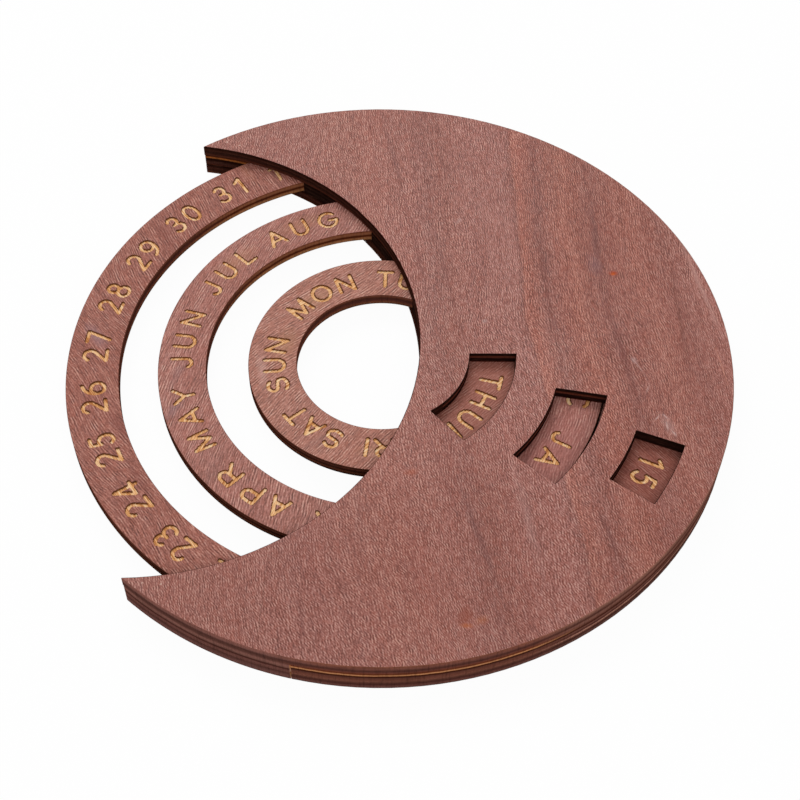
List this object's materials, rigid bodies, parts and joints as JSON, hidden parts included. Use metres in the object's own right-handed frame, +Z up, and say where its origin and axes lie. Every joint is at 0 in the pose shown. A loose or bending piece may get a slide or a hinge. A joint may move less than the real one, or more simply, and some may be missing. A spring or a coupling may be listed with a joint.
{
  "type": "perpetual desk calendar",
  "caption": "Flat crescent-shaped desk calendar of laser-cut plywood; three turning rings show the weekday, month and date in its windows.",
  "frame": {"origin": "under the middle of the whole calendar, on the surface that it lies on; the rings turn about a line 3.75 mm towards the horns from it", "axes": "+X along the crescent's line of symmetry, away from the horns; +Y from the lower horn to the upper horn; +Z up, out of the lettered faces"},
  "size_m": [0.1424, 0.15, 0.0086],
  "materials": {
    "cover_plywood": "stained, matt, fine open grain",
    "casing_plywood": "laser-cut, edges burnt dark",
    "ring_plywood": "stained, matt, engraved lettering left bare"
  },
  "bodies": {
    "casing": {"front_cover": "cover_plywood", "back_plate": "casing_plywood", "back_horn_upper": "casing_plywood", "back_horn_lower": "casing_plywood", "rim_spacer": "casing_plywood", "rim_horn_upper": "casing_plywood", "rim_horn_lower": "casing_plywood", "date_month_guide": "casing_plywood", "month_day_guide": "casing_plywood", "day_guide": "casing_plywood"},
    "date_ring": {"date_ring": "ring_plywood"},
    "month_ring": {"month_ring": "ring_plywood"},
    "day_ring": {"day_ring": "ring_plywood"}
  },
  "joints": [
    {"name": "date_ring_turn", "type": "hinge", "parent": "casing", "child": "date_ring", "pos_m": [-0.00375, 0, 0.0042], "axis": [0, 0, 1], "continuous": true},
    {"name": "month_ring_turn", "type": "hinge", "parent": "casing", "child": "month_ring", "pos_m": [-0.00375, 0, 0.0042], "axis": [0, 0, 1], "continuous": true},
    {"name": "day_ring_turn", "type": "hinge", "parent": "casing", "child": "day_ring", "pos_m": [-0.00375, 0, 0.0042], "axis": [0, 0, 1], "continuous": true}
  ]
}
